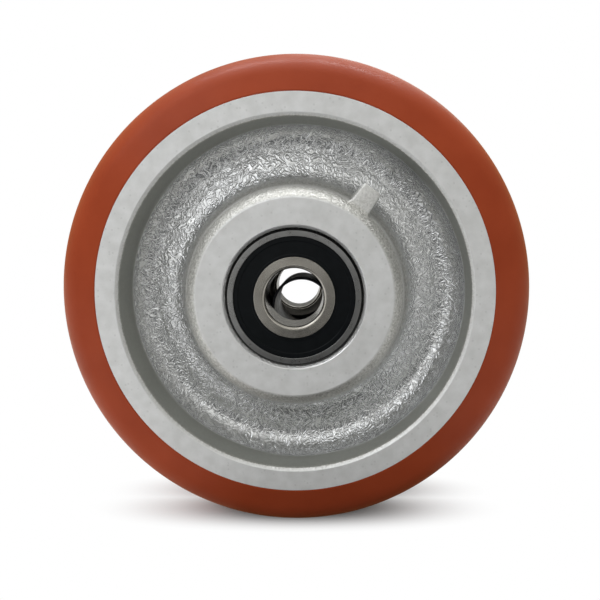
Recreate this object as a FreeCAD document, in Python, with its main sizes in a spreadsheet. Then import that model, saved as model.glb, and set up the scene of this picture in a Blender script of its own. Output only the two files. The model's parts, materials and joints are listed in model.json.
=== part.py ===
import FreeCAD
import Part
import Sketcher
import os

# An industrial castor wheel: an iron core with a bonded polyurethane tread, two sealed ball bearings
# in the hub, and a loose spacer sleeve between the bearings' inner rings.
# Millimetres and degrees. The wheel's centre is the origin, its axle runs along Y, its front is at -Y.

doc = FreeCAD.newDocument("castor_wheel")

# Driving dimensions
sizes = {
    # tread
    "wheel_diameter": 180.0,
    "tread_width": 50.0,
    "tread_thickness": 19.5,
    "side_lean": 2.2,           # how far the tread's side leans back before the shoulder
    "shoulder_height": 11.5,    # radial height of the rounded shoulder
    "shoulder_radius": 16.5,
    # rim
    "rim_thickness": 7.0,
    "rim_edge_chamfer": 0.9,
    "rim_wall_draft": 1.3,      # how far the rim's inner wall closes in towards the web
    "rim_root_radius": 7.0,
    # web
    "web_thickness": 18.0,      # at the foot of the rim
    "web_fall": 3.2,            # how much lower the web's face lies at the rim than at the hub
    # hub
    "hub_length": 60.0,         # over the bearings
    "ring_proud": 0.5,          # how far the bearings stand out of the hub's face
    "hub_diameter": 74.4,
    "hub_flare": 4.5,           # how much the boss widens from its face to the web
    "hub_edge_radius": 9.5,     # of the boss as cast
    "hub_facing": 0.85,         # what the facing cut takes off the boss
    "hub_root_radius": 9.0,
    "root_share": 0.44,         # the most of the web's width that either root may take
    "seat_chamfer": 1.2,
    "cored_hole": 34.0,
    # lug beside the hub
    "lug_angle": 54.0,          # from +X towards +Z
    "lug_length": 8.8,          # beyond the hub
    "lug_inset": 1.2,           # how far inside the hub the hollows of its sides start
    "lug_base_width": 8.4,
    "lug_tip_width": 7.2,
    "lug_setback": 2.6,         # how far its top lies below the hub's face
    "lug_flare": 3.4,           # radius of the hollows where its sides run into the hub
    "lug_draft": 3.0,
    "lug_edge_radius": 0.8,
    # bearings
    "bearing_bore": 20.0,
    "bearing_outside": 47.0,
    "bearing_width": 14.0,
    "bore_chamfer": 1.0,
    "outside_chamfer": 0.8,
    "ball_count": 8,
    "ball_diameter": 7.938,
    "pitch_diameter": 33.5,
    "race_conformity": 0.52,    # raceway radius as a share of the ball's diameter
    "race_play": 0.08,
    "inner_shoulder": 28.8,
    "outer_shoulder": 38.5,
    "inner_land": 27.6,         # where the seal's lip runs
    "seal_seat": 41.6,
    "seal_recess": 0.35,
    "seal_thickness": 1.5,
    "seal_dish": 0.2,
    "seal_lip_band": 0.75,
    "seal_bead_band": 1.5,
    "lip_gap": 0.12,
    "shoulder_gap": 0.3,        # from the seal's back to the inner ring's shoulder
    "cage_sheet": 0.6,
    "cage_gap": 0.4,
    "pocket_play": 0.12,
    "rivet_diameter": 1.0,
    "rivet_play": 0.03,
    "rivet_head_diameter": 1.8,
    "rivet_head_height": 0.45,
    # spacer sleeve
    "sleeve_play": 0.2,         # radial, round the axle
    "sleeve_wall": 1.0,
    "sleeve_edge": 0.35,
    "sleeve_rest_gap": 0.3,     # between the dropped sleeve and the cored hole
    "sleeve_roll": 23.0,        # the dropped sleeve's place, from straight down towards +X
}

sheet = doc.addObject("Spreadsheet::Sheet", "Sizes")
for row, (alias, size) in enumerate(sizes.items(), start=1):
    sheet.set(f"A{row}", alias)
    sheet.set(f"B{row}", str(size))
    sheet.setAlias(f"B{row}", alias)
doc.recompute()

# Dimensions worked out from the driving ones. Heights are along the axle, from the middle of the wheel
# or, for the pieces of a bearing, from the middle of the bearing.
derived_formulas = {
    # tread and rim
    "tread_radius": "Sizes.wheel_diameter / 2",
    "rim_radius": "Derived.tread_radius - Sizes.tread_thickness",
    "rim_face": "Sizes.tread_width / 2",
    "crease_radius": "Derived.tread_radius - Sizes.shoulder_height",
    "crease_height": "Derived.rim_face - Sizes.side_lean",
    "crown_half": "Derived.crease_height - sqrt(Sizes.shoulder_radius ^ 2"
                  " - (Sizes.shoulder_radius - Sizes.shoulder_height) ^ 2)",
    "rim_inner": "Derived.rim_radius - Sizes.rim_thickness",
    "wall_top_radius": "Derived.rim_inner - Sizes.rim_edge_chamfer",
    "wall_top": "Derived.rim_face - Sizes.rim_edge_chamfer",
    "wall_foot_radius": "Derived.wall_top_radius - Sizes.rim_wall_draft",
    # web and hub
    "web_half": "Sizes.web_thickness / 2",
    "hub_radius": "Sizes.hub_diameter / 2",
    "hub_face": "Sizes.hub_length / 2 - Sizes.ring_proud",
    "hub_cast_face": "Derived.hub_face + Sizes.hub_facing",
    "facing_clear": "Derived.hub_cast_face + Sizes.hub_facing",
    "flank_foot_radius": "Derived.hub_radius + Sizes.hub_flare",
    "flank_foot": "Derived.web_half + Sizes.web_fall",
    "root_room": "Sizes.root_share * (Derived.wall_foot_radius - Derived.flank_foot_radius)",
    "rim_root": "min(Sizes.rim_root_radius; Derived.root_room)",
    "hub_root": "min(Sizes.hub_root_radius; Derived.root_room)",
    "seat_radius": "Sizes.bearing_outside / 2",
    "seat_mouth": "Derived.seat_radius + Sizes.seat_chamfer",
    "seat_mouth_foot": "Derived.hub_face - Sizes.seat_chamfer",
    "seat_floor": "Sizes.hub_length / 2 - Sizes.bearing_width",
    "cored_radius": "Sizes.cored_hole / 2",
    # lug
    "lug_root": "(Derived.hub_radius + Derived.seat_mouth) / 2",
    "lug_tip": "Derived.hub_radius + Sizes.lug_length",
    "lug_base_half": "Sizes.lug_base_width / 2",
    "lug_tip_half": "Sizes.lug_tip_width / 2",
    "lug_neck": "Derived.hub_radius - Sizes.lug_inset",
    "lug_flare_end": "Derived.lug_neck + Sizes.lug_flare",
    "lug_flare_half": "Derived.lug_base_half + Sizes.lug_flare",
    "lug_height": "Derived.hub_face - Sizes.lug_setback - Derived.web_half",
    "lug_top": "Derived.hub_face - Sizes.lug_setback",
    # bearing rings
    "bearing_centre": "(Sizes.hub_length - Sizes.bearing_width) / 2",
    "half_width": "Sizes.bearing_width / 2",
    "bore_radius": "Sizes.bearing_bore / 2",
    "bore_mouth": "Derived.bore_radius + Sizes.bore_chamfer",
    "bore_mouth_foot": "Derived.half_width - Sizes.bore_chamfer",
    "outside_edge": "Derived.seat_radius - Sizes.outside_chamfer",
    "outside_edge_foot": "Derived.half_width - Sizes.outside_chamfer",
    "pitch_radius": "Sizes.pitch_diameter / 2",
    "ball_radius": "Sizes.ball_diameter / 2",
    "race_radius": "Sizes.race_conformity * Sizes.ball_diameter",
    "inner_shoulder_radius": "Sizes.inner_shoulder / 2",
    "outer_shoulder_radius": "Sizes.outer_shoulder / 2",
    "race_reach": "Derived.race_radius - Derived.ball_radius - Sizes.race_play",
    "inner_race_half": "sqrt(Derived.race_radius ^ 2 - (Derived.pitch_radius + Derived.race_reach"
                       " - Derived.inner_shoulder_radius) ^ 2)",
    "outer_race_half": "sqrt(Derived.race_radius ^ 2 - (Derived.outer_shoulder_radius"
                       " - Derived.pitch_radius + Derived.race_reach) ^ 2)",
    "land_radius": "Sizes.inner_land / 2",
    "land_floor": "Derived.seal_back - Sizes.shoulder_gap",
    # seals
    "seal_radius": "Sizes.seal_seat / 2",
    "seal_face": "Derived.half_width - Sizes.seal_recess",
    "seal_back": "Derived.seal_face - Sizes.seal_thickness",
    "seal_dished": "Derived.seal_face - Sizes.seal_dish",
    "seal_lip": "Derived.land_radius + Sizes.lip_gap",
    "lip_edge": "Derived.seal_lip + Sizes.seal_lip_band",
    "dish_inner": "Derived.lip_edge + Sizes.seal_dish",
    "bead_edge": "Derived.seal_radius - Sizes.seal_bead_band",
    "dish_outer": "Derived.bead_edge - Sizes.seal_dish",
    # cage and rivets
    "cage_inner": "Derived.inner_shoulder_radius + Sizes.cage_gap",
    "cage_outer": "Derived.outer_shoulder_radius - Sizes.cage_gap",
    "pocket_radius": "Derived.ball_radius + Sizes.pocket_play",
    "dome_radius": "Derived.pocket_radius + Sizes.cage_sheet",
    "cage_top": "min(Derived.dome_radius; Derived.seal_back - Sizes.cage_gap)",
    "rivet_turn": "180 / Sizes.ball_count",
    "rivet_across": "Derived.pitch_radius * cos(Derived.rivet_turn * 1 deg)",
    "rivet_up": "Derived.pitch_radius * sin(Derived.rivet_turn * 1 deg)",
    "rivet_radius": "Sizes.rivet_diameter / 2",
    "rivet_hole_radius": "Derived.rivet_radius + Sizes.rivet_play",
    "rivet_head_radius": "Sizes.rivet_head_diameter / 2",
    "rivet_end": "Sizes.cage_sheet + Sizes.rivet_head_height",
    "rivet_dome_radius": "(Derived.rivet_head_radius ^ 2 + Sizes.rivet_head_height ^ 2)"
                         " / (2 * Sizes.rivet_head_height)",
    # sleeve
    "sleeve_inner": "Derived.bore_radius + Sizes.sleeve_play",
    "sleeve_outer": "Derived.sleeve_inner + Sizes.sleeve_wall",
    "sleeve_mouth": "Derived.sleeve_inner + Sizes.sleeve_edge",
    "sleeve_rim": "Derived.sleeve_outer - Sizes.sleeve_edge",
    "sleeve_edge_foot": "Derived.seat_floor - Sizes.sleeve_edge",
    "sleeve_drop": "Derived.cored_radius - Derived.sleeve_outer - Sizes.sleeve_rest_gap",
}

derived = doc.addObject("App::VarSet", "Derived")
for name in derived_formulas:
    derived.addProperty("App::PropertyFloat", name, "Derived")
for name, rule in derived_formulas.items():
    derived.setExpression(name, rule)
doc.recompute()

on_axis = "axis"      # a corner on the sketch's vertical axis
on_middle = "middle"  # a corner on the sketch's horizontal axis
same_point = 1e-6     # points nearer than this are one point
same_place = 0.01     # edges nearer than this to a given radius or height lie at it
subparts = []


def formula(name):
    sign = "-" if name.startswith("-") else ""
    bare = name.lstrip("-")
    owner = "Sizes" if bare in sizes else "Derived"
    return f"{sign}{owner}.{bare}"


def number(name):
    if name in (on_axis, on_middle):
        return 0.0
    bare = name.lstrip("-")
    size = sizes[bare] if bare in sizes else getattr(derived, bare)
    return -size if name.startswith("-") else size


def origin_part(body, role):
    return next(item for item in body.Origin.OriginFeatures if item.Role == role)


def new_body(label):
    body = doc.addObject("PartDesign::Body", label)
    subparts.append(body)
    return body


def new_sketch(body, label, plane="XY_Plane"):
    sketch = body.newObject("Sketcher::SketchObject", label)
    sketch.AttachmentSupport = [(origin_part(body, plane), "")]
    sketch.MapMode = "FlatFace"
    return sketch


# The point in the middle of an arc from start to stop. side is 1 where the arc swells to the left of
# that direction, -1 where it swells to the right.
def swell_point(start, stop, radius, side):
    chord = stop - start
    half = chord.Length / 2
    rise = radius - (radius ** 2 - half ** 2) ** 0.5
    left = FreeCAD.Vector(-chord.y, chord.x, 0).normalize()
    return (start + stop) / 2 + left * (side * rise)


# Draws a closed outline through corners, each a pair of dimension names (across, up) that its two
# constraints are bound to. arcs gives the edges that are arcs: corner number to (radius name, side).
def draw_outline(sketch, corners, arcs=None):
    arcs = arcs or {}
    points = [FreeCAD.Vector(number(across), number(up), 0) for across, up in corners]
    tag = f"at{sketch.GeometryCount}_"
    edges = []
    for i, start in enumerate(points):
        stop = points[(i + 1) % len(points)]
        if i in arcs:
            radius_name, side = arcs[i]
            edge = Part.Arc(start, swell_point(start, stop, number(radius_name), side), stop)
        else:
            edge = Part.LineSegment(start, stop)
        index = sketch.addGeometry(edge, False)
        first = 1 if sketch.getPoint(index, 1).isEqual(start, same_point) else 2
        edges.append((index, first, 3 - first))
    for i, (index, first, last) in enumerate(edges):
        following, its_first, _ = edges[(i + 1) % len(edges)]
        sketch.addConstraint(Sketcher.Constraint("Coincident", index, last, following, its_first))
    for i, (index, first, last) in enumerate(edges):
        if i in arcs:
            radius_name = arcs[i][0]
            rule = Sketcher.Constraint("Radius", index, number(radius_name))
            bind_constraint(sketch, rule, f"{tag}radius{i}", radius_name)
        across, up = corners[i]
        for kind, name, axis in (("DistanceX", across, -2), ("DistanceY", up, -1)):
            if name in (on_axis, on_middle):
                sketch.addConstraint(Sketcher.Constraint("PointOnObject", index, first, axis))
                continue
            rule = Sketcher.Constraint(kind, -1, 1, index, first, number(name))
            bind_constraint(sketch, rule, f"{tag}corner{i}{kind[-1]}", name)


def bind_constraint(sketch, rule, constraint_name, dimension):
    index = sketch.addConstraint(rule)
    sketch.renameConstraint(index, constraint_name)
    sketch.setExpression(f"Constraints.{constraint_name}", formula(dimension))


# A full turn of a sketch about one of its own axes: added, or cut away with kind "Groove"
def turn(body, sketch, label, kind="Revolution", axis="V_Axis"):
    feature = body.newObject(f"PartDesign::{kind}", label)
    feature.Profile = sketch
    feature.ReferenceAxis = (sketch, [axis])
    feature.Angle = 360
    body.Tip = feature
    return feature


def turned_body(label, corners, arcs=None):
    body = new_body(label)
    sketch = new_sketch(body, f"{label}_section")
    draw_outline(sketch, corners, arcs)
    turn(body, sketch, f"{label}_turning")
    return body


def round_the_axle(body, feature, label):
    pattern = body.newObject("PartDesign::PolarPattern", label)
    pattern.Originals = [feature]
    pattern.Axis = (origin_part(body, "Y_Axis"), [""])
    pattern.Angle = 360
    pattern.setExpression("Occurrences", "Sizes.ball_count")
    body.Tip = pattern
    return pattern


# The outline of both sides from that of the front: the same corners again at the rear, in reverse
def both_sides(front_corners):
    rear_corners = [(across, up.lstrip("-")) for across, up in reversed(front_corners)]
    return front_corners + rear_corners


def round_edges(body, label, radius_name, edge_names):
    base = body.Tip
    feature = body.newObject("PartDesign::Fillet", label)
    feature.Base = (base, edge_names)
    feature.setExpression("Radius", formula(radius_name))
    body.Tip = feature
    doc.recompute()


# The circular edges about the axle of a given radius and height, at the front and at the rear
def ring_edges(body, radius_name, height_name):
    found = []
    for i, edge in enumerate(body.Tip.Shape.Edges, start=1):
        if not isinstance(edge.Curve, Part.Circle):
            continue
        at_radius = abs(edge.Curve.Radius - number(radius_name)) < same_place
        at_height = abs(abs(edge.Curve.Center.y) - number(height_name)) < same_place
        if at_radius and at_height:
            found.append(f"Edge{i}")
    return found


def build_tread():
    front = [
        ("rim_radius", "-rim_face"),
        ("crease_radius", "-crease_height"),
        ("tread_radius", "-crown_half"),
    ]
    shoulders = {1: ("shoulder_radius", -1), 3: ("shoulder_radius", -1)}
    turned_body("tread", both_sides(front), shoulders)


def build_core():
    front = [
        ("cored_radius", "-seat_floor"),
        ("seat_radius", "-seat_floor"),
        ("seat_radius", "-seat_mouth_foot"),
        ("seat_mouth", "-hub_face"),
        ("seat_mouth", "-hub_cast_face"),
        ("hub_radius", "-hub_cast_face"),
        ("flank_foot_radius", "-flank_foot"),
        ("wall_foot_radius", "-web_half"),
        ("wall_top_radius", "-wall_top"),
        ("rim_inner", "-rim_face"),
        ("rim_radius", "-rim_face"),
    ]
    body = turned_body("wheel_core", both_sides(front))
    doc.recompute()
    round_edges(body, "rim_roots", "rim_root", ring_edges(body, "wall_foot_radius", "web_half"))
    round_edges(body, "hub_roots", "hub_root", ring_edges(body, "flank_foot_radius", "flank_foot"))
    round_edges(body, "hub_edges", "hub_edge_radius", ring_edges(body, "hub_radius", "hub_cast_face"))
    face_hub(body)
    add_lug(body)


# The boss is cast with a wide rounding and then faced, which leaves a crisp edge round its face
def face_hub(body):
    sketch = new_sketch(body, "hub_facing_section")
    front = [
        ("seat_radius", "-hub_face"),
        ("flank_foot_radius", "-hub_face"),
        ("flank_foot_radius", "-facing_clear"),
        ("seat_radius", "-facing_clear"),
    ]
    draw_outline(sketch, front)
    draw_outline(sketch, [(across, up.lstrip("-")) for across, up in front])
    turn(body, sketch, "hub_faces", "Groove")
    doc.recompute()


# The cast lug stands on the front of the web, against the hub
def add_lug(body):
    sketch = new_sketch(body, "lug_plan", "XZ_Plane")
    sketch.setExpression("AttachmentOffset.Base.z", "Derived.web_half")
    sketch.setExpression("AttachmentOffset.Rotation.Angle", "Sizes.lug_angle * 1 deg")
    draw_outline(sketch, [
        ("lug_root", "-lug_flare_half"),
        ("lug_neck", "-lug_flare_half"),
        ("lug_flare_end", "-lug_base_half"),
        ("lug_tip", "-lug_tip_half"),
        ("lug_tip", "lug_tip_half"),
        ("lug_flare_end", "lug_base_half"),
        ("lug_neck", "lug_flare_half"),
        ("lug_root", "lug_flare_half"),
    ], {1: ("lug_flare", 1), 5: ("lug_flare", 1)})
    before = body.Tip.Shape.Volume
    pad = body.newObject("PartDesign::Pad", "lug")
    pad.Profile = sketch
    pad.setExpression("Length", "Derived.lug_height")
    pad.setExpression("TaperAngle", "-Sizes.lug_draft * 1 deg")
    body.Tip = pad
    doc.recompute()
    if pad.Shape.Volume <= before:
        raise RuntimeError("the lug adds nothing to the core")
    top_edges = []
    for i, edge in enumerate(pad.Shape.Edges, start=1):
        heights = [abs(vertex.Point.y + derived.lug_top) for vertex in edge.Vertexes]
        straight = isinstance(edge.Curve, Part.Line)
        if straight and max(heights) < same_place:
            top_edges.append(f"Edge{i}")
    round_edges(body, "lug_edges", "lug_edge_radius", top_edges)


def build_sleeve():
    front = [
        ("sleeve_inner", "-sleeve_edge_foot"),
        ("sleeve_mouth", "-seat_floor"),
        ("sleeve_rim", "-seat_floor"),
        ("sleeve_outer", "-sleeve_edge_foot"),
    ]
    body = turned_body("spacer_sleeve", both_sides(front))
    body.setExpression("Placement.Base.x", "Derived.sleeve_drop * sin(Sizes.sleeve_roll * 1 deg)")
    body.setExpression("Placement.Base.z", "-Derived.sleeve_drop * cos(Sizes.sleeve_roll * 1 deg)")


def build_inner_ring(label):
    front = [
        ("bore_radius", "-bore_mouth_foot"),
        ("bore_mouth", "-half_width"),
        ("land_radius", "-half_width"),
        ("land_radius", "-land_floor"),
        ("inner_shoulder_radius", "-land_floor"),
        ("inner_shoulder_radius", "-inner_race_half"),
    ]
    raceway = {len(front) - 1: ("race_radius", 1)}
    return turned_body(label, both_sides(front), raceway)


def build_outer_ring(label):
    front = [
        ("seat_radius", "-outside_edge_foot"),
        ("outside_edge", "-half_width"),
        ("seal_radius", "-half_width"),
        ("seal_radius", "-seal_back"),
        ("outer_shoulder_radius", "-seal_back"),
        ("outer_shoulder_radius", "-outer_race_half"),
    ]
    raceway = {len(front) - 1: ("race_radius", -1)}
    return turned_body(label, both_sides(front), raceway)


# A seal in the outer ring: sign is "-" for the one at -Y, empty for the one at +Y
def build_seal(label, sign):
    return turned_body(label, [
        ("seal_lip", f"{sign}seal_back"),
        ("seal_lip", f"{sign}seal_face"),
        ("lip_edge", f"{sign}seal_face"),
        ("dish_inner", f"{sign}seal_dished"),
        ("dish_outer", f"{sign}seal_dished"),
        ("bead_edge", f"{sign}seal_face"),
        ("seal_radius", f"{sign}seal_face"),
        ("seal_radius", f"{sign}seal_back"),
    ])


# Ball k's place round the axle: the first ball lies on +X
def build_ball(label, k):
    ball = doc.addObject("Part::Sphere", label)
    angle = f"{k} * 360 deg / Sizes.ball_count"
    ball.setExpression("Radius", "Derived.ball_radius")
    ball.setExpression("Placement.Base.x", f"Derived.pitch_radius * cos({angle})")
    ball.setExpression("Placement.Base.z", f"Derived.pitch_radius * sin({angle})")
    subparts.append(ball)
    return ball


# A sphere about the first ball's centre, turned from a half disc about the radial line through it. The
# half disc lies away from the cage half, so that the sphere's seam and poles are trimmed off.
def turn_sphere(body, label, kind, radius_name, sign):
    sketch = new_sketch(body, f"{label}_section")
    sketch.setExpression("AttachmentOffset.Base.x", "Derived.pitch_radius")
    radius = number(radius_name)
    away = radius if sign else -radius
    left = FreeCAD.Vector(-radius, 0, 0)
    right = FreeCAD.Vector(radius, 0, 0)
    line = sketch.addGeometry(Part.LineSegment(left, right), False)
    arc = sketch.addGeometry(Part.Arc(left, FreeCAD.Vector(0, away, 0), right), False)
    arc_left = 1 if sketch.getPoint(arc, 1).isEqual(left, same_point) else 2
    sketch.addConstraint(Sketcher.Constraint("Coincident", arc, 3, -1, 1))
    sketch.addConstraint(Sketcher.Constraint("Coincident", line, 1, arc, arc_left))
    sketch.addConstraint(Sketcher.Constraint("Coincident", line, 2, arc, 3 - arc_left))
    sketch.addConstraint(Sketcher.Constraint("PointOnObject", line, 1, -1))
    sketch.addConstraint(Sketcher.Constraint("PointOnObject", line, 2, -1))
    bind_constraint(sketch, Sketcher.Constraint("Radius", arc, radius), "radius", radius_name)
    return turn(body, sketch, label, kind, "H_Axis")


# A hole for the first rivet, midway between two balls
def drill_rivet_hole(body, label):
    sketch = new_sketch(body, f"{label}_plan", "XZ_Plane")
    centre = FreeCAD.Vector(derived.rivet_across, derived.rivet_up, 0)
    circle = Part.Circle(centre, FreeCAD.Vector(0, 0, 1), derived.rivet_hole_radius)
    index = sketch.addGeometry(circle, False)
    for kind, name in (("DistanceX", "rivet_across"), ("DistanceY", "rivet_up")):
        rule = Sketcher.Constraint(kind, -1, 1, index, 3, number(name))
        bind_constraint(sketch, rule, name, name)
    rule = Sketcher.Constraint("Radius", index, derived.rivet_hole_radius)
    bind_constraint(sketch, rule, "radius", "rivet_hole_radius")
    hole = body.newObject("PartDesign::Pocket", label)
    hole.Profile = sketch
    hole.Midplane = True
    hole.setExpression("Length", "2 * Derived.half_width")
    body.Tip = hole
    return hole


# One pressed half of the cage: a flat ring with a dome over each ball, trimmed to a ribbon
def build_cage_half(label, sign):
    ribbon = [
        ("cage_inner", on_middle),
        ("cage_outer", on_middle),
        ("cage_outer", f"{sign}cage_sheet"),
        ("cage_inner", f"{sign}cage_sheet"),
    ]
    body = turned_body(label, ribbon)
    dome = turn_sphere(body, f"{label}_dome", "Revolution", "dome_radius", sign)
    round_the_axle(body, dome, f"{label}_domes")

    trim_sketch = new_sketch(body, f"{label}_trim_section")
    draw_outline(trim_sketch, [
        ("bore_radius", "-half_width"),
        ("seat_radius", "-half_width"),
        ("seat_radius", "half_width"),
        ("bore_radius", "half_width"),
    ])
    draw_outline(trim_sketch, [
        ("cage_inner", on_middle),
        ("cage_outer", on_middle),
        ("cage_outer", f"{sign}cage_top"),
        ("cage_inner", f"{sign}cage_top"),
    ])
    turn(body, trim_sketch, f"{label}_trim", "Groove")

    pocket = turn_sphere(body, f"{label}_pocket", "Groove", "pocket_radius", sign)
    round_the_axle(body, pocket, f"{label}_pockets")
    hole = drill_rivet_hole(body, f"{label}_rivet_hole")
    round_the_axle(body, hole, f"{label}_rivet_holes")
    return body


# The cage's rivets, one between each pair of balls, as one group
def build_rivets(label):
    body = new_body(label)
    body.AllowCompound = True
    sketch = new_sketch(body, f"{label}_section")
    sketch.setExpression("AttachmentOffset.Base.x", "Derived.pitch_radius")
    draw_outline(sketch, [
        (on_axis, "-rivet_end"),
        ("rivet_head_radius", "-cage_sheet"),
        ("rivet_radius", "-cage_sheet"),
        ("rivet_radius", "cage_sheet"),
        ("rivet_head_radius", "cage_sheet"),
        (on_axis, "rivet_end"),
    ], {0: ("rivet_dome_radius", -1), 4: ("rivet_dome_radius", -1)})
    rivet = turn(body, sketch, f"{label}_one")
    round_the_axle(body, rivet, f"{label}_all")
    body.Placement.Rotation = FreeCAD.Rotation(FreeCAD.Vector(0, 1, 0), derived.rivet_turn)
    body.setExpression("Placement.Rotation.Angle", "-Derived.rivet_turn * 1 deg")
    return body


# One bearing's pieces. sign is "-" for the front bearing, which lies at -Y, and empty for the rear one.
def build_bearing(side, sign):
    inboard = "" if sign else "-"
    pieces = [
        build_inner_ring(f"{side}_inner_ring"),
        build_outer_ring(f"{side}_outer_ring"),
        build_seal(f"{side}_outboard_seal", sign),
        build_seal(f"{side}_inboard_seal", inboard),
        build_cage_half(f"{side}_cage_outboard_half", sign),
        build_cage_half(f"{side}_cage_inboard_half", inboard),
        build_rivets(f"{side}_cage_rivets"),
    ]
    for k in range(sizes["ball_count"]):
        pieces.append(build_ball(f"{side}_ball_{k + 1}", k))
    for piece in pieces:
        piece.setExpression("Placement.Base.y", formula(f"{sign}bearing_centre"))


def check_model():
    for item in doc.Objects:
        if "Invalid" in item.State or "Error" in item.State:
            raise RuntimeError(f"{item.Label} did not build: {item.State}")
    for piece in subparts:
        if piece.Shape.isNull() or not piece.Shape.isValid():
            raise RuntimeError(f"{piece.Label} has no valid solid")


def write_parts():
    os.makedirs("parts", exist_ok=True)
    for piece in subparts:
        piece.Shape.exportStep(f"parts/{piece.Label}.step")
        print(f"{piece.Label}: {len(piece.Shape.Solids)} solid(s), {piece.Shape.Volume:.1f} mm3")


build_tread()
build_core()
build_sleeve()
build_bearing("front", "-")
build_bearing("rear", "")
doc.recompute()
check_model()
write_parts()
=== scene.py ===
import json
import math
import bmesh
import bpy
from mathutils import Matrix, Vector


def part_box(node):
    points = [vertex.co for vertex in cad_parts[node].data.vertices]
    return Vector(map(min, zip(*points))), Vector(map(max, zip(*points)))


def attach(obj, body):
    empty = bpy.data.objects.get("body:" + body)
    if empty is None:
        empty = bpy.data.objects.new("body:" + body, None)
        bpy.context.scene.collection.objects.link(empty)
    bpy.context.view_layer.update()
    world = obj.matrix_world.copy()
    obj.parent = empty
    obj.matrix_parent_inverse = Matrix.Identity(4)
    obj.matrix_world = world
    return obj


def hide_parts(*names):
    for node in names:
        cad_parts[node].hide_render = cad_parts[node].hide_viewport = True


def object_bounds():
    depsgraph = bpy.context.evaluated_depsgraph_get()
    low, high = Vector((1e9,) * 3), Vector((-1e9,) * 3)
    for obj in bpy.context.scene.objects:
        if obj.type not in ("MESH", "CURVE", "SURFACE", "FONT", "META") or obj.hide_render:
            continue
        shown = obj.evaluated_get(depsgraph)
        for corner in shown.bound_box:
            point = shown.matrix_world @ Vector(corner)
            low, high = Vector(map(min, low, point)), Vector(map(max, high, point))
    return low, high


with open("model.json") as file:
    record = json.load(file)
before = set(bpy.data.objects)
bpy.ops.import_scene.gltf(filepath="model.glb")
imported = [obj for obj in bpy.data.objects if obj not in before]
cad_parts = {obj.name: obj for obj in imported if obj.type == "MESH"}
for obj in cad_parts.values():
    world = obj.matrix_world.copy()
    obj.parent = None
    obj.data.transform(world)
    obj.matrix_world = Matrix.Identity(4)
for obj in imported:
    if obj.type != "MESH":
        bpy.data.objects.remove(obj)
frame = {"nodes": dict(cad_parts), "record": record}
cadLow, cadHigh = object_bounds()
mm = 0.001
sides = {"front": -1, "rear": 1}


# node helpers, for shader trees and geometry trees alike

def setInputs(tree, node, inputs):
    # links what is a socket, and sets what is a plain value
    for key, value in inputs.items():
        if isinstance(value, bpy.types.NodeSocket):
            tree.links.new(value, node.inputs[key])
        else:
            node.inputs[key].default_value = value


def addNode(tree, kind, inputs=None, **settings):
    made = tree.nodes.new(kind)
    for name, value in settings.items():
        setattr(made, name, value)
    setInputs(tree, made, inputs or {})
    return made


def mathNode(tree, operation, *values, clamp=False):
    inputs = dict(enumerate(values))
    return addNode(tree, "ShaderNodeMath", inputs, operation=operation, use_clamp=clamp).outputs[0]


def rampNode(tree, value, start, stop, low=0.0, high=1.0, smooth=False):
    # low at start, high at stop, and held there beyond them
    return addNode(tree, "ShaderNodeMapRange", {
        "Value": value, "From Min": start, "From Max": stop, "To Min": low, "To Max": high,
    }, interpolation_type="SMOOTHSTEP" if smooth else "LINEAR").outputs["Result"]


def splitPlace(tree, place):
    # a place's X, Y and Z, and its radius about the axle
    parts = addNode(tree, "ShaderNodeSeparateXYZ", {0: place}).outputs
    flat = addNode(tree, "ShaderNodeCombineXYZ", {"X": parts["X"], "Z": parts["Z"]}).outputs[0]
    radius = addNode(tree, "ShaderNodeVectorMath", {0: flat}, operation="LENGTH").outputs["Value"]
    return parts, radius


def newTree(name, kind, inSockets, outSockets):
    # an input is a type of socket, or the number that a float socket starts from
    tree = bpy.data.node_groups.new(name, kind)
    for label, start in inSockets.items():
        typed = isinstance(start, str)
        socketType = start if typed else "NodeSocketFloat"
        socket = tree.interface.new_socket(label, in_out="INPUT", socket_type=socketType)
        if not typed:
            socket.default_value = start
    for label, socketType in outSockets.items():
        tree.interface.new_socket(label, in_out="OUTPUT", socket_type=socketType)
    return tree, addNode(tree, "NodeGroupInput").outputs, addNode(tree, "NodeGroupOutput")


def linear(red, green, blue):
    # a screen colour's levels, 0 to 255, as linear light
    values = []
    for level in (red, green, blue):
        share = level / 255
        values.append(share / 12.92 if share <= 0.04045 else ((share + 0.055) / 1.055) ** 2.4)
    return (*values, 1.0)


# shared shader groups

def makeGrainGroup():
    noiseLow, noiseHigh = 0.3, 0.7      # nearly all of the noise lies between these
    tree, given, out = newTree("grain", "ShaderNodeTree", {
        "Vector": "NodeSocketVector",
        "Size": 1 * mm,
        "Detail": 3.0,
        "Distortion": 0.0,
        "Low": 0.0,
        "High": 1.0,
    }, {"Value": "NodeSocketFloat"})
    noise = addNode(tree, "ShaderNodeTexNoise", {
        "Vector": given["Vector"],
        "Scale": mathNode(tree, "DIVIDE", 1.0, given["Size"]),
        "Detail": given["Detail"],
        "Distortion": given["Distortion"],
    }).outputs["Fac"]
    spread = rampNode(tree, noise, noiseLow, noiseHigh, given["Low"], given["High"])
    setInputs(tree, out, {"Value": spread})
    return tree


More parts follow.
